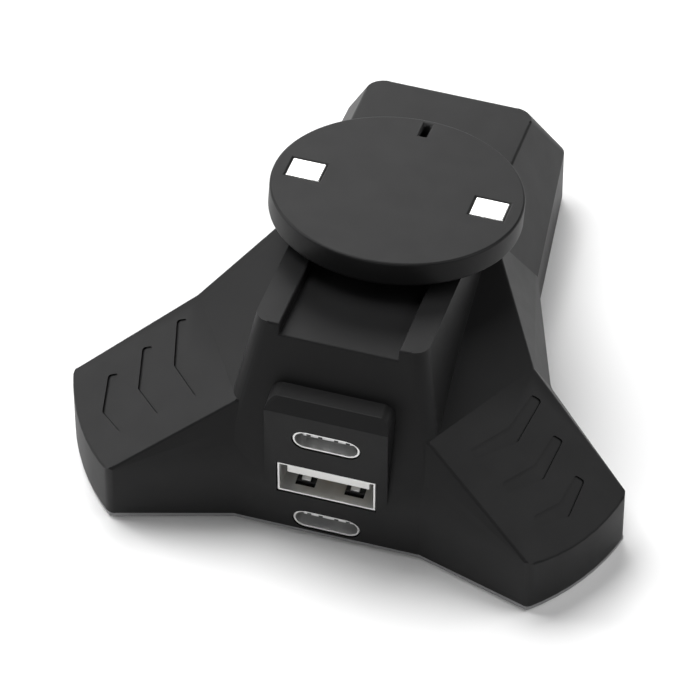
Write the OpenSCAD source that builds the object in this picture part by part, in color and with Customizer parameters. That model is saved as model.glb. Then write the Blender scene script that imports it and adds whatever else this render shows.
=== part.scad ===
// Desktop charging dock for a mouse: a low three-legged faceted housing carries a tilted
// round disc with two charging contacts, and a port panel with three sockets faces forward.
// X is the dock's width, +Y its back leg, +Z up, and the ports face -Y.

/* [Disc] */
// Radius of the charging disc
disc_r = 16.6; // [14:0.1:18]
// Thickness of the charging disc
disc_t = 3.45; // [3.2:0.05:4.5]
// Height of the middle of the disc's top face above the table
hub_h = 31.8; // [31.3:0.1:36]
// Slope of the disc and of the deck under it, in degrees
tilt = 14.7; // [13:0.1:16]
// How far the deck lies below the disc's top face, square to it
deck_drop = 4.72; // [4.5:0.02:5.2]
// Radius of the neck under the disc
neck_r = 7.4; // [6.8:0.1:7.6]
// Distance from the disc's middle to each contact pad
pad_x = 12.3; // [11:0.1:13]
// Width of a contact pad
pad_w = 4.5; // [3.5:0.1:5]
// Depth of a contact pad, front to back
pad_d = 4; // [3:0.1:4.5]
// Distance from the disc's middle to the small slot behind it
slot_y = 14.2; // [13.4:0.1:14.4]
// Length of that slot
slot_l = 2.8; // [2:0.1:3]
// Width of that slot
slot_w = 0.9; // [0.6:0.05:1.2]

/* [Deck and port housing] */
// Half width of the flat deck
deck_half = 11.35; // [11:0.05:12]
// Distance from the disc's middle to the deck's front edge, along the slope
deck_front = 27.4; // [26.8:0.1:28.5]
// How far the deck's rear edge lies ahead of the back leg's end
deck_setback = 6.2; // [6:0.1:7.5]
// Radius of the housing's upright front corners
front_corner_r = 2.2; // [1.5:0.1:2.6]
// Radius of the deck's rear corners
back_corner_r = 2.6; // [1.5:0.1:3.5]
// Outward lean of the housing's side walls, in degrees
side_draft = 9.8; // [8:0.1:11]
// Half width of the groove in the deck
groove_half = 7.8; // [7.7:0.05:8.2]
// Depth of the groove in the deck
groove_depth = 1.6; // [1:0.1:2]
// Half width of the raised port panel
panel_half = 8.2; // [7.8:0.1:9]
// Height of the port panel's top above the table
panel_h = 25.6; // [24.5:0.1:27]
// Chamfer along the port panel's top edge, front to back
panel_chamfer = 1.8; // [1:0.1:2.2]
// Rounding of the port panel's upper corners
panel_round = 1.5; // [0.6:0.1:2]

/* [Legs] */
// Height of the belt edge, where upright walls meet the sloping ones
belt_h = 10.2; // [9.6:0.1:11]
// Width of the dock between the rear corners of its two front legs
width = 74.6; // [72:0.2:78]
// Depth of the dock, from the front corner of a leg to the back leg's end
depth = 72.8; // [71:0.2:74]
// Distance from the disc's middle back to the back leg's end
back_reach = 34.4; // [34:0.1:35]
// How far the tip of a leg runs sideways, from its front corner to its rear one
tip_run_x = 9.2; // [8.5:0.1:10]
// How far the tip of a leg runs back, from its front corner to its rear one
tip_run_y = 14.7; // [14:0.1:15.5]
// Outward bow of a leg's tip
tip_bow = 1.3; // [0.8:0.1:2]
// Rear end of a leg's crest, sideways
crest_rear_x = 22.5; // [21.5:0.1:23.5]
// Rear end of a leg's crest, forward of the disc's middle
crest_rear_y = 15.5; // [15.4:0.1:16.5]
// Front end of a leg's crest, sideways
crest_front_x = 13; // [12.6:0.1:14]
// Height of a leg's crest
crest_h = 21.05; // [20.5:0.05:21.8]
// Where the leg's rear crease meets the housing, sideways
saddle_x = 12.9; // [12.5:0.1:13.4]
// Where the leg's rear crease meets the housing, forward of the disc's middle
saddle_y = 15.3; // [14.8:0.1:15.3]
// Height where the leg's rear crease meets the housing
saddle_h = 22.75; // [22.5:0.05:23.2]
// Point where the shoulder edge passes under the disc, sideways
shoulder_x = 14.4; // [14:0.1:14.8]
// Height of the shoulder edge under the disc
shoulder_h = 22.44; // [22.1:0.02:22.6]
// Number of chevron recesses on a leg
chevrons = 3; // [1:1:3]
// Depth of a chevron recess
chevron_depth = 0.25; // [0.2:0.05:0.6]
// Width of a chevron's band at its bend
chevron_w = 2.2; // [1.6:0.1:2.5]
// Distance from the leg's tip to the first chevron's bend, up the ramp
chevron_first = 4.2; // [4:0.1:4.5]
// Distance from one chevron to the next
chevron_pitch = 5.8; // [5.2:0.1:5.9]

/* [Plan of the base] */
// Half width of the flat stretch under the port panel
front_half = 12.4; // [11.5:0.1:12.6]
// Inner corner behind a leg, sideways
crook_x = 23.5; // [23:0.1:24.5]
// Inner corner behind a leg, forward of the disc's middle
crook_y = 9.5; // [8.8:0.1:10]
// Waist of the back leg, sideways
waist_x = 17.1; // [16.6:0.1:17.8]
// Waist of the back leg, behind the disc's middle
waist_y = 8.2; // [7.5:0.1:9]
// Corner of the back leg's end, sideways
tail_x = 15; // [14.4:0.1:15.6]
// Outward bow of the back leg's end
tail_bow = 3.6; // [2.8:0.1:4]

/* [Walls and base] */
// Thickness of the housing's walls
wall = 2; // [1.8:0.1:2.3]
// Height of the feet that show under the base
foot_h = 0.4; // [0.3:0.05:0.8]
// Thickness of the base plate's rim
rim_t = 0.8; // [0.6:0.05:0.9]
// How far the base plate's rim stands back from the housing
rim_setback = 0.1; // [0.1:0.05:0.5]
// Height of the step on the base plate that locates the housing
step_h = 1; // [0.8:0.05:1.4]
// Radius of a foot pad
foot_r = 4.5; // [3.5:0.1:5]
// Distance from a foot and its case screw to the end of its leg
foot_inset = 8; // [7.5:0.1:8.8]
// Radius of a case screw's thread
screw_r = 1.2; // [1:0.05:1.4]
// Thickness of the steel ballast plate
ballast_t = 3; // [2:0.1:4]

/* [Power icon] */
// Distance from the disc's middle to the icon, along the slope
icon_y = 19.95; // [19.8:0.05:21]
// Outer radius of the icon's ring
icon_r = 2.8; // [2.2:0.05:3]
// Width of the icon's lines
icon_line = 0.5; // [0.3:0.05:0.6]
// Depth of the icon's inlay
icon_depth = 0.3; // [0.2:0.05:0.5]

/* [Sockets] */
// Width of the large socket's metal shell
usb_a_w = 13.1; // [12.8:0.1:13.4]
// Height of the large socket's metal shell
usb_a_h = 5.7; // [5.4:0.1:6]
// Height of the large socket's middle
usb_a_z = 11.1; // [10.9:0.1:11.4]
// Width of a small socket's metal shell
usb_c_w = 8.94; // [8.7:0.02:9.1]
// Height of a small socket's metal shell
usb_c_h = 3.26; // [3.1:0.02:3.3]
// Height of the lower small socket's middle
usb_c_low_z = 3.25; // [3.22:0.01:3.32]
// Height of the upper small socket's middle
usb_c_high_z = 19.7; // [19.4:0.1:20]
// Thickness of the circuit boards
board_t = 1; // [0.8:0.1:1.2]

/* [Hidden] */
// Clearance between a part and the opening that it sits in
fit = 0.1;
// A little more than nothing, so that cuts pass through faces
eps = 0.01;
// Thickness of the slices between which the hollow forms are lofted
slice = 0.25;
// Longer than the whole dock, for half spaces and through cuts
far = 200;
// Curve steps
round_fn = 64;
small_fn = 32;
coarse_fn = 8;
hex_fn = 6;
arc_steps = 8;
corner_steps = 5;
// Corners of a leg's tip, and the corner of the back leg's end
tip_rear_x = width / 2;
tip_front_x = tip_rear_x - tip_run_x;
tip_front_y = depth - back_reach;
tip_rear_y = tip_front_y - tip_run_y;
tail_y = back_reach - tail_bow;
// Direction straight out through a leg's tip
tip_out = unit([tip_run_y, -tip_run_x]);
// Feet, square in from the middle of each leg's end
foot_x = (tip_front_x + tip_rear_x) / 2 - foot_inset * tip_out.x;
foot_y = (tip_front_y + tip_rear_y) / 2 + foot_inset * tip_out.y;
foot_back_y = back_reach - foot_inset;
// Distance from the disc's middle to the deck's rear edge, along the slope
deck_back = (back_reach - deck_setback + deck_drop * sin(tilt)) / cos(tilt);
// Smallest corner radius in the hollow
least_r = 0.6;
// Levels of the base
rim_z = foot_h + rim_t;
floor_z = rim_z + step_h;
// Share by which the back leg's slanting sides move in further than its end
slant_inset = 1.2;
// Wall above the deck's hollow, which leaves a full wall under the groove
deck_wall = wall + groove_depth;
// The front wall is square to the deck, so its foot lies ahead of the deck's front edge
function front_at(z) = (deck_front + (hub_h - z) * sin(tilt)) / cos(tilt);
front_y = front_at(belt_h);
panel_y = front_y;
// Where the shoulder edge is measured, forward of the disc's middle
shoulder_y = 0.5;
// Levels measured from the disc's top face: the deck, and the hollow's roof under it
deck_level = -deck_drop;
roof_level = deck_level - deck_wall;
// Disc: thickness of its top and skirt, of its bottom cover, and of the contacts' board
cap_t = 1.3;
cover_t = 0.9;
contact_board_t = 0.8;
cover_level = -disc_t + cover_t;
contact_board_level = cover_level + contact_board_t;
cap_inner_r = disc_r - cap_t;
contact_board_r = cap_inner_r - 1.4;
pad_t = 0.6;
pin_r = 0.6;
// Three screws hold the disc's cover, clear of the pads and the slot
disc_screw_r = 0.7;
disc_screw_head_r = 1.5;
disc_screw_head_t = 0.6;
disc_screw_boss_r = 1.5;
disc_screw_place = cap_inner_r - 2.6;
disc_screw_angles = [30, 150, 270];
// Neck: its bore steps in under the magnet, and a ring holds it from inside the housing
neck_wall = 1.7;
neck_end = roof_level - 2.2;
ring_wall = 1.7;
ring_t = 1.8;
magnet_r = neck_r - neck_wall - fit;
magnet_t = 2.5;
seat_step = 1.1;
// Light well and lamp under the power icon
well_r = 1.3;
lamp_w = 1.5;
lamp_t = 0.9;
lamp_board_w = 9;
icon_gap = 42;
icon_bar_l = 2.1;
// Case screws
screw_head_r = 2.1;
screw_head_t = 1.2;
screw_reach = 7;
boss_r = screw_r + 1.6;
// Ribs that stiffen the legs, across the bosses and above the ballast plate
rib_t = 1;
rib_half = 14;
rib_z = floor_z + ballast_t + 0.5;
// Boards stand on the base plate's posts, joined by spacers beside the sockets
board_half = 9.6;
upper_board_half = 9.2;
main_board_z = usb_c_low_z + usb_c_h / 2;
main_board_front = panel_y - 2.6;
main_board_back = 8.6;
upper_board_z = usb_c_high_z - usb_c_h / 2 - board_t;
upper_board_front = front_at(upper_board_z + board_t) - wall / cos(tilt) - 0.3;
upper_board_back = 12;
post_x = board_half - 1.9;
post_front = main_board_front - 3.8;
post_back = 14;
post_r = 1.6;
thread_r = 0.8;
spacer_r = 1.25;
board_screw_head_r = 1.5;
board_screw_head_t = 1.1;
board_screw_reach = 3;
header_w = 7.6;
header_d = 2.5;
header_y = post_back + 1.1;
header_body_h = 2.5;
header_pins = 3;
// Sockets: metal thickness, depths and tongues
metal_t = 0.3;
socket_recess = 0.15;
usb_a_depth = 14;
usb_a_tongue_w = 11;
usb_a_tongue_t = 1.9;
usb_a_tongue_gap = 0.7;
usb_a_back_l = 3;
usb_a_window = 2.6;
finger_w = 1.2;
finger_l = 1.9;
finger_bend = 1.3;
finger_rise = 0.6;
usb_a_contact = [1, 8.4, 0.2];
usb_a_contact_places = [-3.3, -1.1, 1.1, 3.3];
riser_half = 5;
usb_c_depth = 7.4;
usb_c_tongue_w = 6.7;
usb_c_tongue_t = 0.7;
usb_c_back_t = 1;
usb_c_contact = [0.45, 3, 0.1];
usb_c_contact_places = [-2.6, -1.05, 1.05, 2.6];
usb_c_contact_setback = 0.25;
tongue_setback = 1;
// Panel: how far its chamfer drops and how deep it reaches into the front wall
panel_chamfer_drop = panel_chamfer * 2 / 3;
panel_reach = 7.5;

// Named corners of the right leg, from the disc's middle
tip_front = [tip_front_x, -tip_front_y, belt_h];
tip_rear = [tip_rear_x, -tip_rear_y, belt_h];
crest_front = [crest_front_x, -front_at(crest_h), crest_h];
crest_rear = [crest_rear_x, -crest_rear_y, crest_h];
saddle = [saddle_x, -saddle_y, saddle_h];
shoulder = [shoulder_x, -shoulder_y, shoulder_h];
front_foot = [front_half, -front_y, belt_h];
crook = [crook_x, -crook_y, belt_h];
waist = [waist_x, waist_y, belt_h];
tail = [tail_x, tail_y, belt_h];

// Ramp of the right leg: its foot, its slope and its turn
ramp_foot = (tip_front + tip_rear) / 2;
ramp_run = (flat(tip_rear) - flat(crest_rear)) * tip_out;
ramp_slope = atan2(crest_h - belt_h, ramp_run);
ramp_turn = atan2(tip_out.y, tip_out.x);
// Chevron: its upper and lower arm, how much each grows from one to the next, how far their ends lean
// up the ramp, the width of the ends and the rounding of all corners
chevron_up = 4.7;
chevron_up_growth = 0.7;
chevron_down = 4.3;
chevron_down_growth = 1;
chevron_lean = 1.65;
chevron_back = 0.55;
chevron_end = 1.35;
chevron_r = 0.4;

// Plan of the base: a closed ring of corners with a rounding for each
function flat(p) = [p.x, p.y];
function unit(v) = v / norm(v);
// Points from a to b on an arc that bows out to the right of the way there
function arc(a, b, bow, steps) =
    let (half = norm(b - a) / 2,
         r = (half * half + bow * bow) / (2 * bow),
         across = unit([(b - a).y, -(b - a).x]),
         middle = (a + b) / 2 - across * (r - bow),
         start = atan2((a - middle).y, (a - middle).x),
         sweep = 2 * asin(half / r))
    [for (i = [0 : steps]) middle + r * [cos(start + sweep * i / steps), sin(start + sweep * i / steps)]];
function mirrored(points) = [for (i = [len(points) - 1 : -1 : 0]) [-points[i].x, points[i].y]];
tip_arc = arc(flat(tip_front), flat(tip_rear), tip_bow, arc_steps);
tail_arc = arc(flat(tail), [-tail.x, tail.y], tail_bow, 2 * arc_steps);
right_side = concat([flat(front_foot)], tip_arc, [flat(crook), flat(waist)]);
ring = concat(right_side, tail_arc, mirrored(right_side));
// Rounding of each upright edge in the plan, zero along the arcs
tip_round = 1.5;
crook_round = 3;
waist_round = 4;
right_round = concat([0], [tip_round], [for (i = [1 : arc_steps - 1]) 0],
                     [tip_round, crook_round, waist_round]);
tail_round = concat([tip_round], [for (i = [1 : 2 * arc_steps - 1]) 0], [tip_round]);
ring_round = concat(right_round, tail_round, [for (i = [len(right_round) - 1 : -1 : 0]) right_round[i]]);

// The disc's middle lies this far behind the middle of the outline
outline = rounded(ring, ring_round);
hub_y = -(max([for (p = outline) p.y]) + min([for (p = outline) p.y])) / 2;

// A ring of corners moved inward by a distance
function inward(points, d) =
    let (n = len(points))
    [for (i = [0 : n - 1])
        let (before = unit(points[i] - points[(i + n - 1) % n]),
             after = unit(points[(i + 1) % n] - points[i]),
             n1 = [before.y, -before.x],
             n2 = [after.y, -after.x])
        points[i] - d * (n1 + n2) / (1 + n1 * n2)];
// A ring of corners, each rounded by its own radius
function rounded(points, radii) =
    let (n = len(points))
    [for (i = [0 : n - 1])
        let (p = points[i],
             u = unit(points[(i + n - 1) % n] - p),
             v = unit(points[(i + 1) % n] - p),
             half = acos(u * v) / 2)
        each radii[i] == 0 ? [p] :
            let (middle = p + unit(u + v) * radii[i] / sin(half),
                 a = p + u * radii[i] / tan(half) - middle,
                 b = p + v * radii[i] / tan(half) - middle)
            [for (k = [0 : corner_steps]) middle + radii[i] * unit(a * (corner_steps - k) + b * k)]];

module plan(inset = 0) {
    polygon(inset == 0 ? outline : inward(ring, inset));
}

// Frames: the disc's middle on the table, and the tilted disc with its top face at zero
module hub() {
    translate([0, hub_y, 0]) children();
}
module on_disc(level = 0) {
    translate([0, hub_y, hub_h]) rotate([-tilt, 0, 0]) translate([0, 0, level]) children();
}
// The hollow's own measures: its upright walls end lower, and its corners are small and have few steps
function belt_top(inset) = belt_h - inset / 2;
function corner_r(r, inset) = max(r - inset, least_r);
function corner_fn(inset) = inset > 0 ? coarse_fn : small_fn;
// Everything behind the plane through three points, which are named anticlockwise from outside
module behind(a, b, c, inset = 0) {
    n = unit(cross(b - a, c - a));
    translate(a - n * inset) rotate([0, acos(n.z), atan2(n.y, n.x)])
        translate([-far / 2, -far / 2, -far]) cube(far);
}

// Housing forms, each with an inset so that the hollow follows the outside
module leg(inset = 0) {
    hub() intersection() {
        linear_extrude(height = hub_h) plan(inset);
        translate([-inset / 2, waist_y - far, 0]) cube(far);
        behind(tip_front, tip_rear, crest_rear, inset);
        behind(crest_front, crest_rear, saddle, inset);
        behind(crest_rear, shoulder, saddle, inset);
        behind(front_foot, tip_front, crest_front, inset);
        union() {
            behind(tip_rear, crook, crest_rear, inset);
            intersection() {
                behind(crook, waist, crest_rear, inset);
                behind(waist, shoulder, crest_rear, inset);
            }
        }
        translate([0, 0, hub_h]) rotate([-tilt, 0, 0])
            translate([-far / 2, -far / 2, deck_level - inset - far]) cube(far);
    }
}
// Port housing under the deck: side walls lean out as they go down, the front is square to the deck
module block(inset = 0) {
    top = deck_level - (inset > 0 ? deck_wall : 0);
    r = corner_r(front_corner_r, inset);
    intersection() {
        on_disc(top) hull()
            for (level = [0, -hub_h], side = [-1, 1], y = [-deck_front + inset + r, 0])
                translate([side * (deck_half - inset - r - level * tan(side_draft)), y, level - slice])
                    cylinder(r = r, h = slice, $fn = corner_fn(inset));
        hub() linear_extrude(height = hub_h + deck_front) plan(inset);
    }
}
// Back leg: a loft from the rounded deck to the bowed belt line
module back_leg(inset = 0) {
    top = deck_level - (inset > 0 ? deck_wall : 0);
    r = corner_r(back_corner_r, inset);
    hull() {
        on_disc(top) for (side = [-1, 1], y = [-r - 2 * inset, deck_back - inset - r])
            translate([side * (deck_half - slant_inset * inset - r), y, -slice])
                cylinder(r = r, h = slice, $fn = corner_fn(inset));
        hub() translate([0, 0, belt_top(inset) - slice]) linear_extrude(height = slice) intersection() {
            plan(inset);
            translate([-waist_x, waist_y]) square([2 * waist_x, far]);
        }
    }
}
// Raised port panel on the front wall, with a chamfer along its top
module panel(inset = 0) {
    half = panel_half - inset;
    face = -panel_y + inset;
    top = panel_h - inset;
    r = corner_r(panel_round, inset);
    hub() intersection() {
        translate([-half, 0, 0]) rotate([90, 0, 90]) linear_extrude(height = 2 * half)
            polygon([[face, 0], [face, top - panel_chamfer_drop], [face + panel_chamfer, top],
                     [face + panel_reach, top], [face + panel_reach, 0]]);
        rotate([90, 0, 0]) linear_extrude(height = far, center = true) {
            translate([-half, -eps]) square([2 * half, top - r + eps]);
            translate([-half + r, 0]) square([2 * (half - r), top + eps]);
            for (side = [-1, 1]) translate([side * (half - r), top - r]) circle(r = r, $fn = small_fn);
        }
    }
}
// Everything below the two ramps
module under_ramps(inset) {
    intersection_for (side = [0, 1]) mirror([side, 0, 0]) behind(tip_front, tip_rear, crest_rear, inset);
}
module body(inset = 0) {
    hub() intersection() {
        linear_extrude(height = belt_top(inset)) plan(inset);
        under_ramps(inset);
    }
    for (side = [0, 1]) mirror([side, 0, 0]) leg(inset);
    block(inset);
    back_leg(inset);
    panel(inset);
}
// Outline of a small socket, along Y, grown by a margin
module pill(w, h, depth, grow = 0) {
    r = h / 2 + grow;
    rotate([90, 0, 0]) linear_extrude(height = depth, center = true) {
        for (side = [-1, 1]) translate([side * (w - h) / 2, 0]) circle(r = r, $fn = round_fn);
        square([w - h, 2 * r], center = true);
    }
}
module slab(size, middle) {
    translate(middle) cube(size, center = true);
}
// Chevron recesses on the right leg's ramp, cut square to the ramp, the longest one innermost
module chevron_cuts() {
    hub() translate(ramp_foot) rotate([0, 0, ramp_turn]) rotate([0, ramp_slope, 0])
        for (i = [0 : chevrons - 1])
            translate([-chevron_first - i * chevron_pitch, 0, -chevron_depth])
                linear_extrude(height = belt_h) chevron(chevron_up + i * chevron_up_growth,
                                                         chevron_down + i * chevron_down_growth);
}
module chevron(up, down) {
    corners = [[0, 0], [-chevron_back, -down], [chevron_end - chevron_back, -down], [chevron_w, 0],
               [chevron_end - chevron_lean, up], [-chevron_lean, up - chevron_end / 2]];
    polygon(rounded(corners, [for (p = corners) chevron_r]));
}
// Places that repeat
screw_spots = [[foot_x, -foot_y], [-foot_x, -foot_y], [0, foot_back_y]];
module at_case_screws() {
    hub() for (spot = screw_spots) translate(spot) children();
}
module at_posts() {
    hub() for (side = [-1, 1], y = [-post_front, -post_back]) translate([side * post_x, y, 0]) children();
}
module at_disc_screws() {
    for (angle = disc_screw_angles) rotate([0, 0, angle]) translate([disc_screw_place, 0, 0]) children();
}
// Place of a socket's middle on the port panel's face
module at_socket(z, back = 0) {
    hub() translate([0, -panel_y + back, z]) children();
}
module case_screw(grow = 0) {
    translate([0, 0, foot_h]) {
        cylinder(r1 = screw_head_r + grow, r2 = screw_r + grow, h = screw_head_t, $fn = round_fn);
        cylinder(r = screw_r + grow, h = rim_t + step_h + screw_reach, $fn = small_fn);
    }
}

// Housing: faceted outside, hollow inside, with screw bosses, port openings, groove and recesses
module top_shell() {
    color("#2b2b2d") difference() {
        union() {
            difference() {
                body();
                body(wall);
            }
            intersection() {
                body(wall / 2);
                at_case_screws() {
                    cylinder(r = boss_r, h = hub_h, $fn = round_fn);
                    translate([-rib_half, -rib_t / 2, rib_z]) cube([2 * rib_half, rib_t, hub_h]);
                }
            }
        }
        translate([-far / 2, -far / 2, rim_z - far]) cube(far);
        hub() translate([0, 0, rim_z - eps]) linear_extrude(height = step_h + fit + eps)
            polygon(inward(ring, wall));
        at_case_screws() cylinder(r = screw_r, h = floor_z + screw_reach + fit, $fn = small_fn);
        on_disc(deck_level - groove_depth) translate([-groove_half, -far, 0])
            cube([2 * groove_half, far, groove_depth + eps]);
        on_disc(roof_level - eps) cylinder(r = neck_r + fit, h = deck_wall + 2 * eps, $fn = round_fn);
        on_disc(deck_level - icon_depth) translate([0, icon_y, 0])
            linear_extrude(height = icon_depth + eps) icon(fit / 2);
        on_disc(roof_level - eps) translate([0, icon_y, 0])
            cylinder(r = well_r, h = deck_wall - icon_depth + 2 * eps, $fn = small_fn);
        for (side = [0, 1]) mirror([side, 0, 0]) chevron_cuts();
        at_socket(usb_a_z) cube([usb_a_w + 2 * fit, 2 * panel_reach, usb_a_h + 2 * fit], center = true);
        for (z = [usb_c_low_z, usb_c_high_z])
            at_socket(z) pill(usb_c_w, usb_c_h, 2 * panel_reach, fit);
    }
}

// Base plate: a rim that shows under the housing, a step that locates it, and the boards' posts
module base_plate() {
    pocket_half = usb_c_w / 2 + 4 * fit;
    color("#3a3a3c") difference() {
        union() {
            hub() translate([0, 0, foot_h]) linear_extrude(height = rim_t)
                polygon(inward(ring, rim_setback));
            hub() translate([0, 0, foot_h]) linear_extrude(height = rim_t + step_h)
                polygon(inward(ring, wall + fit));
            at_posts() cylinder(r = post_r, h = main_board_z, $fn = small_fn);
        }
        at_case_screws() case_screw(fit / 2);
        at_posts() translate([0, 0, rim_z]) cylinder(r = thread_r, h = main_board_z, $fn = small_fn);
        hub() translate([-pocket_half, -far, usb_c_low_z - usb_c_h / 2 - fit])
            cube([2 * pocket_half, far - panel_y + usb_c_depth + 1, far]);
        hub() translate([0, 0, -far + foot_h]) linear_extrude(height = far) polygon(ring);
    }
}
module ballast_plate() {
    color("#8f9296") hub() translate([0, 0, floor_z]) linear_extrude(height = ballast_t) difference() {
        intersection() {
            polygon(inward(ring, wall + 1));
            translate([-far / 2, -main_board_back + 1]) square(far);
        }
        translate([0, foot_back_y]) circle(r = boss_r + 3 * fit, $fn = round_fn);
    }
}
module case_screws() {
    color("#b9bbbe") at_case_screws() difference() {
        case_screw();
        translate([0, 0, foot_h - eps]) cylinder(r = screw_r, h = screw_head_t / 2, $fn = hex_fn);
    }
}
module foot(spot) {
    color("#1a1a1a") hub() translate(spot) cylinder(r = foot_r, h = foot_h, $fn = round_fn);
}

// Boards, their spacers and screws
module board(front, back, half, z) {
    hub() translate([-half, -front, z]) cube([2 * half, front - back, board_t]);
}
module main_board() {
    color("#1f5a34") difference() {
        board(main_board_front, main_board_back, board_half, main_board_z);
        at_posts() cylinder(r = thread_r, h = far, $fn = small_fn);
    }
}
module upper_board() {
    color("#1f5a34") difference() {
        board(upper_board_front, upper_board_back, upper_board_half, upper_board_z);
        at_posts() cylinder(r = thread_r, h = far, $fn = small_fn);
    }
}
// Spacers with a stud below, which screws through the lower board into the post
module board_spacers() {
    color("#c9a24a") at_posts() difference() {
        union() {
            translate([0, 0, main_board_z + board_t]) rotate([0, 0, 30])
                cylinder(r = spacer_r, h = upper_board_z - main_board_z - board_t, $fn = hex_fn);
            translate([0, 0, main_board_z - board_screw_reach / 2])
                cylinder(r = thread_r, h = board_t + board_screw_reach, $fn = small_fn);
        }
        translate([0, 0, upper_board_z - board_screw_reach])
            cylinder(r = thread_r, h = far, $fn = small_fn);
    }
}
module board_screws() {
    color("#b9bbbe") at_posts() translate([0, 0, upper_board_z + board_t]) difference() {
        union() {
            cylinder(r = board_screw_head_r, h = board_screw_head_t, $fn = small_fn);
            translate([0, 0, -board_t - board_screw_reach])
                cylinder(r = thread_r, h = board_t + board_screw_reach, $fn = small_fn);
        }
        translate([0, 0, board_screw_head_t / 2]) cylinder(r = thread_r, h = far, $fn = hex_fn);
    }
}
// Pin header that carries power from the lower board to the upper one
module board_header() {
    span = upper_board_z - main_board_z - board_t;
    pin = 0.64;
    color("#202020") hub() translate([0, -header_y, main_board_z + board_t]) {
        slab([header_w, header_d, header_body_h], [0, 0, header_body_h / 2]);
        slab([header_w, header_d, header_body_h], [0, 0, span - header_body_h / 2]);
        for (i = [0 : header_pins - 1])
            slab([pin, pin, span], [(i - (header_pins - 1) / 2) * header_w / header_pins, 0, span / 2]);
    }
}

// Sockets
module usb_a_riser() {
    low = main_board_z + board_t;
    color("#202020") at_socket(low, wall + 3 * fit) translate([-riser_half, 0, 0])
        cube([2 * riser_half, usb_a_depth - wall - 1, usb_a_z - usb_a_h / 2 - low]);
}
module usb_a_shell() {
    color("#c8ccd0") at_socket(usb_a_z, socket_recess) difference() {
        slab([usb_a_w, usb_a_depth, usb_a_h], [0, usb_a_depth / 2, 0]);
        slab([usb_a_w - 2 * metal_t, usb_a_depth, usb_a_h - 2 * metal_t],
             [0, usb_a_depth / 2 - metal_t, 0]);
        for (side = [-1, 1])
            slab([usb_a_window, usb_a_window, usb_a_h], [side * usb_a_w / 4, usb_a_window, -usb_a_h / 2]);
    }
    color("#c8ccd0") for (side = [-1, 1])
        at_socket(usb_a_z, socket_recess) translate([side * usb_a_w / 4, usb_a_window * 3 / 2, -usb_a_h / 2])
            spring_finger();
}
// Finger bent out of the shell's floor, which presses on the plug
module spring_finger() {
    rotate([90, 0, 90]) linear_extrude(height = finger_w, center = true)
        polygon([[metal_t, 0], [metal_t, metal_t], [0, metal_t], [-finger_bend, metal_t + finger_rise],
                 [-finger_l, metal_t + finger_rise / 2], [-finger_l, finger_rise / 2],
                 [-finger_bend, finger_rise], [0, 0]]);
}
module usb_a_tongue() {
    inner = usb_a_h / 2 - metal_t;
    back = usb_a_depth - tongue_setback - metal_t;
    color("#e9e9e6") at_socket(usb_a_z, socket_recess + tongue_setback) difference() {
        union() {
            translate([-usb_a_tongue_w / 2, 0, inner - usb_a_tongue_gap - usb_a_tongue_t])
                cube([usb_a_tongue_w, back, usb_a_tongue_t]);
            translate([-usb_a_w / 2 + metal_t, back - usb_a_back_l, -inner])
                cube([usb_a_w - 2 * metal_t, usb_a_back_l, 2 * inner]);
        }
        usb_a_contact_bars();
    }
}
// Contacts let into the underside of the large socket's tongue
module usb_a_contact_bars() {
    low = usb_a_h / 2 - metal_t - usb_a_tongue_gap - usb_a_tongue_t;
    for (x = usb_a_contact_places)
        slab(usb_a_contact, [x, tongue_setback + usb_a_contact.y / 2, low + usb_a_contact.z / 2]);
}
module usb_a_contacts() {
    color("#d9b25a") at_socket(usb_a_z, socket_recess + tongue_setback) usb_a_contact_bars();
}
module usb_c_shell(z) {
    color("#c8ccd0") at_socket(z, socket_recess + usb_c_depth / 2) difference() {
        pill(usb_c_w, usb_c_h, usb_c_depth);
        pill(usb_c_w, usb_c_h, usb_c_depth + 1, -metal_t);
    }
}
// Tongue of a small socket, with the block that closes the shell's back
module usb_c_tongue(z) {
    color("#3c3c3e") at_socket(z, socket_recess) difference() {
        union() {
            slab([usb_c_tongue_w, usb_c_depth - tongue_setback, usb_c_tongue_t],
                 [0, (usb_c_depth + tongue_setback) / 2, 0]);
            translate([0, usb_c_depth - usb_c_back_t / 2, 0])
                pill(usb_c_w, usb_c_h, usb_c_back_t, -metal_t);
        }
        usb_c_contact_bars();
    }
}
// Contacts let into the top of a small socket's tongue
module usb_c_contact_bars() {
    for (x = usb_c_contact_places)
        slab(usb_c_contact, [x, tongue_setback + usb_c_contact_setback + usb_c_contact.y / 2,
                             (usb_c_tongue_t - usb_c_contact.z) / 2]);
}
module usb_c_contacts() {
    color("#d9b25a") for (z = [usb_c_low_z, usb_c_high_z]) at_socket(z, socket_recess) usb_c_contact_bars();
}

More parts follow.
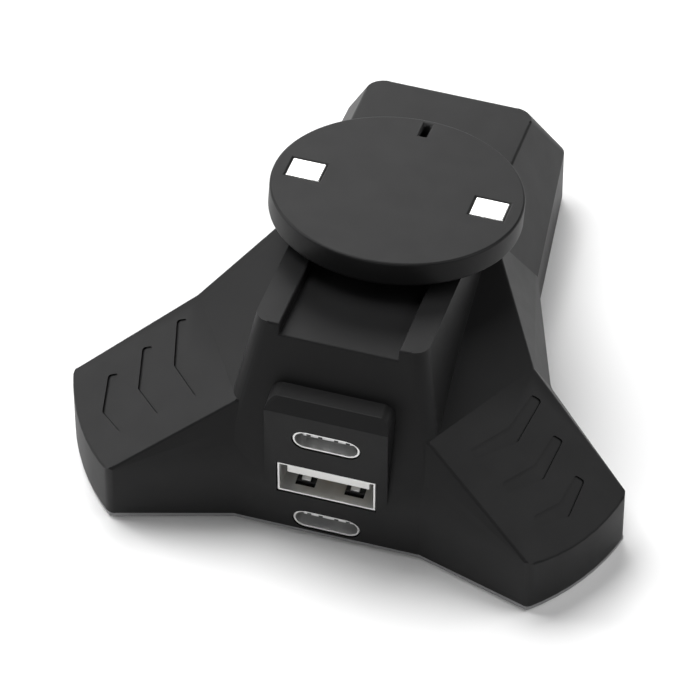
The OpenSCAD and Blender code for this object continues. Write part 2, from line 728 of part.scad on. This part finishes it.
// Charging disc, built from its top face down
module disc_cap() {
    color("#303032") on_disc() difference() {
        translate([0, 0, -disc_t]) cylinder(r = disc_r, h = disc_t, $fn = round_fn);
        difference() {
            translate([0, 0, -disc_t - eps])
                cylinder(r = cap_inner_r, h = disc_t - cap_t + eps, $fn = round_fn);
            at_disc_screws() translate([0, 0, cover_level])
                cylinder(r = disc_screw_boss_r, h = disc_t, $fn = small_fn);
        }
        at_disc_screws() translate([0, 0, -disc_t])
            cylinder(r = disc_screw_r, h = disc_t - cap_t / 2, $fn = small_fn);
        for (side = [-1, 1]) translate([side * pad_x, 0, 0]) {
            slab([pad_w, pad_d, 2 * pad_t], [0, 0, 0]);
            cylinder(r = pin_r, h = far, center = true, $fn = small_fn);
        }
        slab([slot_w, slot_l, 3 * cap_t], [0, slot_y, 0]);
    }
}
module disc_cover() {
    color("#28282a") on_disc() difference() {
        union() {
            translate([0, 0, -disc_t])
                cylinder(r = cap_inner_r - fit, h = cover_t, $fn = round_fn);
            translate([0, 0, neck_end]) cylinder(r = neck_r, h = -neck_end - disc_t, $fn = round_fn);
        }
        translate([0, 0, neck_end - eps])
            cylinder(r = magnet_r - seat_step, h = -neck_end, $fn = round_fn);
        translate([0, 0, cover_level - magnet_t]) cylinder(r = magnet_r + fit, h = far, $fn = round_fn);
        at_disc_screws() translate([0, 0, -disc_t - eps]) {
            cylinder(r = disc_screw_head_r + fit, h = disc_screw_head_t + eps, $fn = small_fn);
            cylinder(r = disc_screw_r + fit, h = disc_t, $fn = small_fn);
        }
    }
}
module disc_screws() {
    color("#b9bbbe") on_disc() at_disc_screws() translate([0, 0, -disc_t]) {
        cylinder(r = disc_screw_head_r, h = disc_screw_head_t, $fn = small_fn);
        cylinder(r = disc_screw_r, h = disc_t - cap_t / 2 - fit, $fn = small_fn);
    }
}
module neck_ring() {
    color("#28282a") on_disc(roof_level - ring_t) difference() {
        cylinder(r = neck_r + ring_wall, h = ring_t, $fn = round_fn);
        translate([0, 0, -eps]) cylinder(r = neck_r, h = far, $fn = round_fn);
    }
}
module contact_board() {
    color("#1f5a34") on_disc(cover_level) difference() {
        cylinder(r = contact_board_r, h = contact_board_t, $fn = round_fn);
        at_disc_screws() translate([0, 0, -eps])
            cylinder(r = disc_screw_boss_r + fit, h = far, $fn = small_fn);
    }
}
// Contact pad, flush with the disc's top, with a pin down to the board
module contact_pad(side) {
    color("#e6e6e3") on_disc() translate([side * pad_x, 0, 0]) {
        slab([pad_w, pad_d, pad_t], [0, 0, -pad_t / 2]);
        translate([0, 0, contact_board_level])
            cylinder(r = pin_r, h = -contact_board_level - pad_t / 2, $fn = small_fn);
    }
}
module holding_magnet() {
    color("#a9acb0") on_disc(cover_level - magnet_t) cylinder(r = magnet_r, h = magnet_t, $fn = round_fn);
}

// Power icon: a ring open toward the disc, with a bar in the gap
module icon(grow = 0) {
    difference() {
        circle(r = icon_r + grow, $fn = round_fn);
        circle(r = icon_r - icon_line - grow, $fn = round_fn);
        polygon([[0, 0], [-far * tan(icon_gap) / 2, -far / 2], [far * tan(icon_gap) / 2, -far / 2]]);
    }
    translate([-icon_line / 2 - grow, -icon_r - icon_line - grow])
        square([icon_line + 2 * grow, icon_bar_l + 2 * grow]);
}
module power_icon() {
    color("#77797c") on_disc(deck_level - icon_depth) translate([0, icon_y, 0])
        linear_extrude(height = icon_depth) icon();
}
// Lamp under the icon, on a small board against the hollow's roof
module lamp_board() {
    color("#1f5a34") on_disc(roof_level - board_t) translate([0, icon_y, 0])
        slab([lamp_board_w, lamp_board_w, board_t], [0, 0, board_t / 2]);
}
module indicator_lamp() {
    color("#e8e4c8") on_disc(roof_level) translate([0, icon_y, 0])
        slab([lamp_w, lamp_w, lamp_t], [0, 0, lamp_t / 2]);
}

top_shell();
base_plate();
ballast_plate();
case_screws();
foot(screw_spots[1]);  // foot_left
foot(screw_spots[0]);  // foot_right
foot(screw_spots[2]);  // foot_back
main_board();
upper_board();
board_spacers();
board_screws();
board_header();
usb_a_riser();
usb_a_shell();
usb_a_tongue();
usb_a_contacts();
usb_c_shell(usb_c_high_z);  // usb_c_upper_shell
usb_c_tongue(usb_c_high_z);  // usb_c_upper_tongue
usb_c_shell(usb_c_low_z);  // usb_c_lower_shell
usb_c_tongue(usb_c_low_z);  // usb_c_lower_tongue
usb_c_contacts();
disc_cap();
disc_cover();
disc_screws();
neck_ring();
contact_board();
contact_pad(-1);  // contact_pad_left
contact_pad(1);  // contact_pad_right
holding_magnet();
power_icon();
lamp_board();
indicator_lamp();
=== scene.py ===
import bmesh
import bpy
from math import cos, radians, sin
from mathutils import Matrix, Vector

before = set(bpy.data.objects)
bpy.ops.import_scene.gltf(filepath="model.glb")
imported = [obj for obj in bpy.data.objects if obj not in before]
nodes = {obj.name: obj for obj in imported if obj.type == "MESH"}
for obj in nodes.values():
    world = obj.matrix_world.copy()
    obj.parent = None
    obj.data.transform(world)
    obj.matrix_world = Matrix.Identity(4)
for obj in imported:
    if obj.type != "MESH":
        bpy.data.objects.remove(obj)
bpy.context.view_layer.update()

# Sizes are in metres, angles in degrees and colours in linear light.
MM = 0.001

# Camera, at the photograph's angle
VIEW_AZ, VIEW_EL = 15.8, 51.0
LENS, SENSOR = 300.0, 36.0
SHOWN_WIDTH = 92 * MM
CLIP_START = 0.01
AIM = Vector((-3.8, -7.3, 8.4)) * MM

# Light: name, azimuth, elevation, distance, size and power in watts
LIGHTS = (
    ("key", -125, 66, 0.7, 0.4, 4.5),
    ("left", -96, 26, 0.7, 0.4, 3.2),
    ("back", -160, 20, 0.7, 0.4, 2.1),
    ("right", 104, 38, 0.7, 0.4, 2.4),
    ("front", 5, 34, 0.9, 0.5, 1.8),
)
WORLD_STRENGTH = 0.02
FLOOR_HALF, FLOOR_GREY, FLOOR_ROUGH = 3.0, 0.86, 0.75

# Features per metre of the noise in plastic and metal
TONE_SCALE, GLOSS_SCALE, GRAIN_SCALE = 90, 260, 5200
METAL_TONE_SCALE, METAL_GLOSS_SCALE, METAL_LINE_SCALE = 300, 900, 2500
BOARD_TRACK_SCALE, BOARD_GLOSS_SCALE = 260.0, 700
TRACK_GAP = 0.09
# Depth of the fine relief in each material
GRAIN_DEPTH, METAL_DEPTH, BOARD_DEPTH = 0.02 * MM, 0.01 * MM, 0.03 * MM
# Darkest tone of a metal as a share of its colour
METAL_SHADE = 0.82

# Painted shade where pin slots sit in the front edge of the small sockets' tongues: dark colour,
# not cut
PIN_PLACES = (1.05 * MM, 2.6 * MM)
PIN_HALF = 0.28 * MM
PIN_LENGTH = 0.5 * MM
PIN_SHADE_COLOUR = (0.01, 0.01, 0.01, 1)

# Edges sharper than SHARP are rounded, and edges sharper than HARD stay hard in the shading.
HOUSING = "top_shell"
SHARP, SHARP_HOUSING = 40, 18
HARD, HARD_HOUSING = 32, 17
WELD_GAP = 0.05 * MM
FLAT_ANGLE = 0.05
BEVEL_SEGMENTS = 3
# Small features of the housing's right half: the port panel, the chevrons, the icon and the rim
PORTS_AT, PORTS_HALF = Vector((0, -30, 13)) * MM, Vector((9.4, 5.5, 13.2)) * MM
CHEVRONS_AT, CHEVRONS_HALF = Vector((24.9, -24.1, 15)) * MM, Vector((7.4, 7.0, 12)) * MM
RAMP_TURN = -32.0
ICON_AT, ICON_HALF = Vector((0, 20.1, 22)) * MM, Vector((3.6, 3.8, 8)) * MM
RIM_TOP = 1.6 * MM
# Share of the rounding that small features and valleys get
SMALL_SHARE = 0.28
# Faces narrower than this get none
NARROW = 0.2 * MM
# How far off a surface the test for the hollow starts
OFF_SURFACE = 0.5 * MM
# An edge that touches a narrow face averages more than this between its two faces
TOUCHES_NARROW = 0.01


# Shader helpers
def new_material(name):
    mat = bpy.data.materials.new(name)
    mat.use_nodes = True
    tree = mat.node_tree
    bsdf = tree.nodes["Principled BSDF"]
    return mat, tree, bsdf


def node(tree, kind, inputs=(), **settings):
    """A new node, its settings set and its inputs linked to sockets or given values."""
    made = tree.nodes.new(kind)
    for key, value in settings.items():
        setattr(made, key, value)
    for key, value in dict(inputs).items():
        if isinstance(value, bpy.types.NodeSocket):
            tree.links.new(value, made.inputs[key])
        else:
            made.inputs[key].default_value = value
    return made


def math_node(tree, kind, a, b=0.0):
    return node(tree, "ShaderNodeMath", {0: a, 1: b}, operation=kind).outputs[0]


def vector_math(tree, kind, a, b):
    inputs = {0: a, 1: b}
    return node(tree, "ShaderNodeVectorMath", inputs, operation=kind).outputs[0]


def own_space(tree):
    """Coordinates in the part's own space."""
    return node(tree, "ShaderNodeTexCoord").outputs["Object"]


def noise(tree, scale, detail=3.0, roughness=0.55, stretch=(1, 1, 1)):
    """Noise in the part's own space, scale in features per metre."""
    mapped = node(tree, "ShaderNodeMapping", {"Vector": own_space(tree), "Scale": stretch})
    inputs = {"Vector": mapped.outputs[0], "Scale": scale, "Detail": detail,
              "Roughness": roughness}
    return node(tree, "ShaderNodeTexNoise", inputs).outputs[0]


def mix_colour(tree, factor, low, high):
    """One colour where the factor is 0 and another where it is 1."""
    return node(tree, "ShaderNodeMix", {0: factor, 6: low, 7: high}, data_type="RGBA").outputs[2]


def ramp(tree, factor, low, high, start=0.3, end=0.7):
    """A factor mapped from one number or colour to another."""
    if isinstance(low, tuple):
        shaped = node(tree, "ShaderNodeMapRange", {0: factor, 1: start, 2: end}).outputs[0]
        return mix_colour(tree, shaped, (*low, 1), (*high, 1))
    inputs = {0: factor, 1: start, 2: end, 3: low, 4: high}
    return node(tree, "ShaderNodeMapRange", inputs).outputs[0]


def bumped(tree, bsdf, height, strength, distance):
    inputs = {"Height": height, "Strength": strength, "Distance": distance}
    made = node(tree, "ShaderNodeBump", inputs)
    tree.links.new(made.outputs[0], bsdf.inputs["Normal"])


def moulded(name, dark, light, rough=(0.4, 0.5), grain=0.12, specular=0.5):
    """Injection-moulded plastic: fine spark-eroded grain, and slow changes of tone and gloss."""
    mat, tree, bsdf = new_material(name)
    tree.links.new(ramp(tree, noise(tree, TONE_SCALE), dark, light), bsdf.inputs["Base Color"])
    tree.links.new(ramp(tree, noise(tree, GLOSS_SCALE, 4), *rough), bsdf.inputs["Roughness"])
    bsdf.inputs["Specular IOR Level"].default_value = specular
    bumped(tree, bsdf, noise(tree, GRAIN_SCALE, 2), grain, GRAIN_DEPTH)
    return mat


def metal(name, colour, rough=(0.18, 0.3), stretch=(1, 1, 1), grain=0.1):
    """Plated or turned metal with fine drawn lines."""
    mat, tree, bsdf = new_material(name)
    bsdf.inputs["Metallic"].default_value = 1
    shade = tuple(METAL_SHADE * c for c in colour)
    tone = ramp(tree, noise(tree, METAL_TONE_SCALE), shade, colour)
    gloss = ramp(tree, noise(tree, METAL_GLOSS_SCALE, 3, 0.5, stretch), *rough)
    tree.links.new(tone, bsdf.inputs["Base Color"])
    tree.links.new(gloss, bsdf.inputs["Roughness"])
    bumped(tree, bsdf, noise(tree, METAL_LINE_SCALE, 2, 0.5, stretch), grain, METAL_DEPTH)
    return mat


def board(name):
    """Solder mask over woven glass, with copper tracks that show through as lighter lines."""
    mat, tree, bsdf = new_material(name)
    inputs = {"Vector": own_space(tree), "Scale": BOARD_TRACK_SCALE, "Mortar Size": TRACK_GAP,
              "Color1": (0.006, 0.008, 0.007, 1), "Color2": (0.007, 0.009, 0.008, 1),
              "Mortar": (0.02, 0.024, 0.02, 1)}
    tracks = node(tree, "ShaderNodeTexBrick", inputs)
    gloss = ramp(tree, noise(tree, BOARD_GLOSS_SCALE), 0.28, 0.4)
    tree.links.new(tracks.outputs[0], bsdf.inputs["Base Color"])
    tree.links.new(gloss, bsdf.inputs["Roughness"])
    bumped(tree, bsdf, tracks.outputs[1], 0.2, BOARD_DEPTH)
    return mat


def tongue(name, dark, light, front):
    """Connector tongue with painted shade for pin slots in its front edge, mirrored across the
    middle; the slots are dark colour, not cut.
    """
    mat = moulded(name, dark, light, (0.4, 0.5), 0.05)
    tree = mat.node_tree
    colour = tree.nodes["Principled BSDF"].inputs["Base Color"]
    body = colour.links[0].from_socket
    axes = node(tree, "ShaderNodeSeparateXYZ", {0: own_space(tree)}).outputs
    side = math_node(tree, "ABSOLUTE", axes[0])
    near = [math_node(tree, "ABSOLUTE", math_node(tree, "SUBTRACT", side, place))
            for place in PIN_PLACES]
    across = math_node(tree, "LESS_THAN", math_node(tree, "MINIMUM", *near), PIN_HALF)
    along = math_node(tree, "LESS_THAN", axes[1], front + PIN_LENGTH)
    # Painted shade: the pin slots are darkened in the colour, not cut into the tongue
    slot = math_node(tree, "MULTIPLY", across, along)
    tree.links.new(mix_colour(tree, slot, body, PIN_SHADE_COLOUR), colour)
    return mat


tongue_front = min(v.co.y for v in nodes["usb_c_upper_tongue"].data.vertices)
BLACK_DARK, BLACK_LIGHT = (0.0070, 0.0070, 0.0072), (0.0079, 0.0079, 0.0081)

BLACK = moulded("housing_plastic", BLACK_DARK, BLACK_LIGHT, (0.46, 0.5), 0.12, 0.14)
DISC = moulded("disc_plastic", BLACK_DARK, BLACK_LIGHT, (0.45, 0.49), 0.12, 0.14)
RIM = moulded("base_plastic", (0.17, 0.17, 0.173), (0.20, 0.20, 0.204), (0.45, 0.55))
RUBBER = moulded("foot_rubber", (0.018, 0.018, 0.018), (0.03, 0.03, 0.03), (0.75, 0.9), 0.3)
# Dark plastic of the header and riser, also used as painted shade on the small sockets' metal
# contacts
DARK_PLASTIC_AND_CONTACT_SHADE = moulded("connector_plastic", (0.012, 0.012, 0.012), (0.02, 0.02, 0.02), (0.35, 0.5))
TONGUE_LIGHT = moulded("tongue_light", (0.82, 0.82, 0.80), (0.88, 0.88, 0.86), (0.4, 0.5), 0.05)
# Painted light: the small sockets' tongues are made paler to stand in for light that does not
# reach inside the sockets
TONGUE_WITH_PAINTED_LIGHT = tongue("tongue_dark", (0.66, 0.66, 0.67), (0.74, 0.74, 0.75), tongue_front)
ICON = moulded("icon_plastic", (0.085, 0.085, 0.088), (0.11, 0.11, 0.113), (0.3, 0.4), 0.04)
LAMP = moulded("lamp_resin", (0.75, 0.7, 0.5), (0.85, 0.8, 0.6), (0.2, 0.3), 0.05)
NICKEL = metal("socket_nickel", (0.80, 0.80, 0.79), (0.38, 0.46), (1, 1, 6), 0.04)
PAD = metal("pad_nickel", (0.93, 0.93, 0.91), (0.30, 0.38), (3, 1, 1), 0.015)
SCREW = metal("screw_zinc", (0.62, 0.63, 0.66), (0.25, 0.4))
PLATE = metal("ballast_zinc", (0.5, 0.51, 0.54), (0.35, 0.5), (8, 1, 1), 0.2)
MAGNET = metal("magnet_nickel", (0.66, 0.66, 0.66), (0.15, 0.25))
BRASS = metal("spacer_brass", (0.72, 0.52, 0.24), (0.22, 0.36), (1, 1, 12))
GOLD = metal("contact_gold", (0.86, 0.62, 0.26), (0.18, 0.28))
BOARD = board("circuit_board")

# Node: material and rounding of its edges in millimetres
FINISH = {
    "top_shell": (BLACK, 0.3), "base_plate": (RIM, 0.12), "ballast_plate": (PLATE, 0.15),
    "case_screws": (SCREW, 0.08), "foot_left": (RUBBER, 0.12), "foot_right": (RUBBER, 0.12),
    "foot_back": (RUBBER, 0.12), "main_board": (BOARD, 0.06), "upper_board": (BOARD, 0.06),
    "board_spacers": (BRASS, 0.08), "board_screws": (SCREW, 0.08),
    "board_header": (DARK_PLASTIC_AND_CONTACT_SHADE, 0.06), "usb_a_riser": (DARK_PLASTIC_AND_CONTACT_SHADE, 0.15),
    "usb_a_shell": (NICKEL, 0.08), "usb_a_tongue": (TONGUE_LIGHT, 0.1),
    "usb_a_contacts": (GOLD, 0.04), "usb_c_upper_shell": (NICKEL, 0.08),
    "usb_c_upper_tongue": (TONGUE_WITH_PAINTED_LIGHT, 0.08), "usb_c_lower_shell": (NICKEL, 0.08),
    # The small sockets' contacts get near-black in place of metal: painted shade
    "usb_c_lower_tongue": (TONGUE_WITH_PAINTED_LIGHT, 0.08), "usb_c_contacts": (DARK_PLASTIC_AND_CONTACT_SHADE, 0.02),
    "disc_cap": (DISC, 0.35), "disc_cover": (DISC, 0.15), "disc_screws": (SCREW, 0.06),
    "neck_ring": (DISC, 0.2), "contact_board": (BOARD, 0.06), "contact_pad_left": (PAD, 0.18),
    "contact_pad_right": (PAD, 0.18), "holding_magnet": (MAGNET, 0.15),
    "power_icon": (ICON, 0.04), "lamp_board": (BOARD, 0.06), "indicator_lamp": (LAMP, 0.1),
}


# Edges
def geometry_group(name):
    """An empty geometry node group, the socket that it reads and the one that it fills."""
    tree = bpy.data.node_groups.new(name, "GeometryNodeTree")
    for way in ("INPUT", "OUTPUT"):
        tree.interface.new_socket("Geometry", in_out=way, socket_type="NodeSocketGeometry")
    source = tree.nodes.new("NodeGroupInput").outputs[0]
    result = tree.nodes.new("NodeGroupOutput").inputs[0]
    return tree, source, result


def shade_group(hard):
    """Smooth shading, with edges sharper than the given angle kept hard."""
    tree, source, result = geometry_group("shade_by_angle")
    faces = node(tree, "GeometryNodeSetShadeSmooth", {0: source, "Shade Smooth": True},
                 domain="FACE").outputs[0]
    angle = tree.nodes.new("GeometryNodeInputMeshEdgeAngle").outputs[0]
    sharp = node(tree, "FunctionNodeCompare", {0: angle, 1: radians(hard)}).outputs[0]
    inputs = {0: faces, "Selection": sharp, "Shade Smooth": False}
    edges = node(tree, "GeometryNodeSetShadeSmooth", inputs, domain="EDGE").outputs[0]
    tree.links.new(edges, result)
    return tree


def in_box(tree, point, centre, half, turn=0.0):
    """1 where a point lies in a box that is turned about Z, else 0."""
    moved = vector_math(tree, "SUBTRACT", point, centre)
    turned = node(tree, "ShaderNodeVectorRotate", {"Vector": moved, "Angle": -radians(turn)},
                  rotation_type="Z_AXIS").outputs[0]
    size = node(tree, "ShaderNodeVectorMath", {0: turned}, operation="ABSOLUTE").outputs[0]
    axes = node(tree, "ShaderNodeSeparateXYZ", {0: vector_math(tree, "SUBTRACT", size, half)})
    x, y, z = axes.outputs
    most = math_node(tree, "MAXIMUM", math_node(tree, "MAXIMUM", x, y), z)
    return math_node(tree, "LESS_THAN", most, 0.0)


def on_domain(tree, value, domain):
    made = node(tree, "GeometryNodeFieldOnDomain", {0: value}, data_type="FLOAT", domain=domain)
    return made.outputs[0]


def narrow_faces(tree):
    """1 on faces that are too narrow for a rounded edge: twice the area over the perimeter."""
    ends = tree.nodes.new("GeometryNodeInputMeshEdgeVertices").outputs
    length = node(tree, "ShaderNodeVectorMath", {0: ends[2], 1: ends[3]},
                  operation="DISTANCE").outputs["Value"]
    corners = tree.nodes.new("GeometryNodeInputMeshFaceNeighbors").outputs[0]
    area = tree.nodes.new("GeometryNodeInputMeshFaceArea").outputs[0]
    perimeter = math_node(tree, "MULTIPLY", on_domain(tree, length, "EDGE"), corners)
    width = math_node(tree, "DIVIDE", math_node(tree, "MULTIPLY", area, 2.0), perimeter)
    return on_domain(tree, math_node(tree, "LESS_THAN", width, NARROW), "FACE")


def under_something(tree, source, place, normal):
    """1 where a ray straight up from just off the surface meets the part again."""
    off = node(tree, "ShaderNodeVectorMath", {0: normal, "Scale": OFF_SURFACE},
               operation="SCALE").outputs[0]
    inputs = {"Target Geometry": source, "Source Position": vector_math(tree, "ADD", place, off),
              "Ray Direction": (0, 0, 1)}
    return node(tree, "GeometryNodeRaycast", inputs).outputs[0]


def edge_group():
    """Bevel weights for the housing: full on outer convex edges, less in valleys and around small
    features, and none inside the hollow."""
    tree, source, result = geometry_group("edge_weights")
    angle = tree.nodes.new("GeometryNodeInputMeshEdgeAngle").outputs
    place = tree.nodes.new("GeometryNodeInputPosition").outputs[0]
    normal = tree.nodes.new("GeometryNodeInputNormal").outputs[0]
    x, y, z = node(tree, "ShaderNodeSeparateXYZ", {0: place}).outputs
    mirrored = node(tree, "ShaderNodeCombineXYZ",
                    {0: math_node(tree, "ABSOLUTE", x), 1: y, 2: z}).outputs[0]
    small = in_box(tree, mirrored, PORTS_AT, PORTS_HALF)
    for other in (in_box(tree, mirrored, CHEVRONS_AT, CHEVRONS_HALF, RAMP_TURN),
                  in_box(tree, mirrored, ICON_AT, ICON_HALF),
                  math_node(tree, "LESS_THAN", z, RIM_TOP),
                  math_node(tree, "LESS_THAN", angle[1], 0.0)):
        small = math_node(tree, "MAXIMUM", small, other)
    outer = math_node(tree, "SUBTRACT", 1.0, under_something(tree, source, place, normal))
    wide = math_node(tree, "GREATER_THAN", angle[0], radians(SHARP_HOUSING))
    less = math_node(tree, "MULTIPLY", small, 1 - SMALL_SHARE)
    share = math_node(tree, "SUBTRACT", 1.0, less)
    broad = math_node(tree, "LESS_THAN", narrow_faces(tree), TOUCHES_NARROW)
    weight = math_node(tree, "MULTIPLY", math_node(tree, "MULTIPLY", share, broad),
                       math_node(tree, "MULTIPLY", outer, wide))
    store = node(tree, "GeometryNodeStoreNamedAttribute",
                 {"Geometry": source, "Name": "bevel_weight_edge", "Value": weight},
                 data_type="FLOAT", domain="EDGE")
    tree.links.new(store.outputs[0], result)
    return tree


SHADE, SHADE_HOUSING = shade_group(HARD), shade_group(HARD_HOUSING)


def finish_node(name, mat, rounding):
    """Gives a CAD node its material, and rounds its edges with modifiers over the unchanged
    mesh."""
    obj = nodes[name]
    housing = name == HOUSING
    if not obj.material_slots:
        obj.data.materials.append(mat)
    for slot in obj.material_slots:
        slot.link = "OBJECT"
        slot.material = mat
    weld = obj.modifiers.new("weld", "WELD")
    weld.merge_threshold = WELD_GAP
    if housing:
        weights = obj.modifiers.new("weights", "NODES")
        weights.node_group = edge_group()
    else:
        flat = obj.modifiers.new("flat", "DECIMATE")
        flat.decimate_type = "DISSOLVE"
        flat.angle_limit = radians(FLAT_ANGLE)
    edge = obj.modifiers.new("edge", "BEVEL")
    edge.width = rounding * MM
    edge.segments = BEVEL_SEGMENTS
    edge.use_clamp_overlap = False
    edge.loop_slide = False
    if housing:
        edge.limit_method = "WEIGHT"
    else:
        edge.limit_method = "ANGLE"
        edge.angle_limit = radians(SHARP)
    shade = obj.modifiers.new("shade", "NODES")
    shade.node_group = SHADE_HOUSING if housing else SHADE
    smooth = obj.modifiers.new("smooth", "WEIGHTED_NORMAL")
    smooth.keep_sharp = True


for name, finish in FINISH.items():
    finish_node(name, *finish)


# Stage
def new_floor(mat):
    mesh = bpy.data.meshes.new("floor")
    made = bmesh.new()
    bmesh.ops.create_grid(made, x_segments=1, y_segments=1, size=FLOOR_HALF)
    made.to_mesh(mesh)
    made.free()
    mesh.materials.append(mat)
    obj = bpy.data.objects.new("floor", mesh)
    bpy.context.collection.objects.link(obj)
    return obj


floor_mat, _, floor_bsdf = new_material("floor_paper")
floor_bsdf.inputs["Base Color"].default_value = (FLOOR_GREY, FLOOR_GREY, FLOOR_GREY, 1)
floor_bsdf.inputs["Roughness"].default_value = FLOOR_ROUGH
floor = new_floor(floor_mat)

world = bpy.data.worlds.new("studio")
world.use_nodes = True
background = world.node_tree.nodes["Background"]
background.inputs["Color"].default_value = (1, 1, 1, 1)
background.inputs["Strength"].default_value = WORLD_STRENGTH
bpy.context.scene.world = world


def aimed(name, data, az, el, distance):
    """An object that looks at the dock from a direction: 0 is straight ahead of its ports."""
    az, el = radians(az), radians(el)
    away = Vector((sin(az) * cos(el), -cos(az) * cos(el), sin(el)))
    obj = bpy.data.objects.new(name, data)
    obj.location = AIM + away * distance
    obj.rotation_euler = away.to_track_quat("Z", "Y").to_euler()
    bpy.context.collection.objects.link(obj)
    return obj


for name, az, el, distance, size, power in LIGHTS:
    lamp = bpy.data.lights.new(name, "AREA")
    lamp.size = size
    lamp.energy = power
    aimed(name, lamp, az, el, distance)

# Camera
lens = bpy.data.cameras.new("camera")
lens.lens = LENS
lens.sensor_width = SENSOR
lens.clip_start = CLIP_START
bpy.context.scene.camera = aimed("camera", lens, VIEW_AZ, VIEW_EL, SHOWN_WIDTH * LENS / SENSOR)
bpy.context.scene.view_settings.view_transform = "Standard"
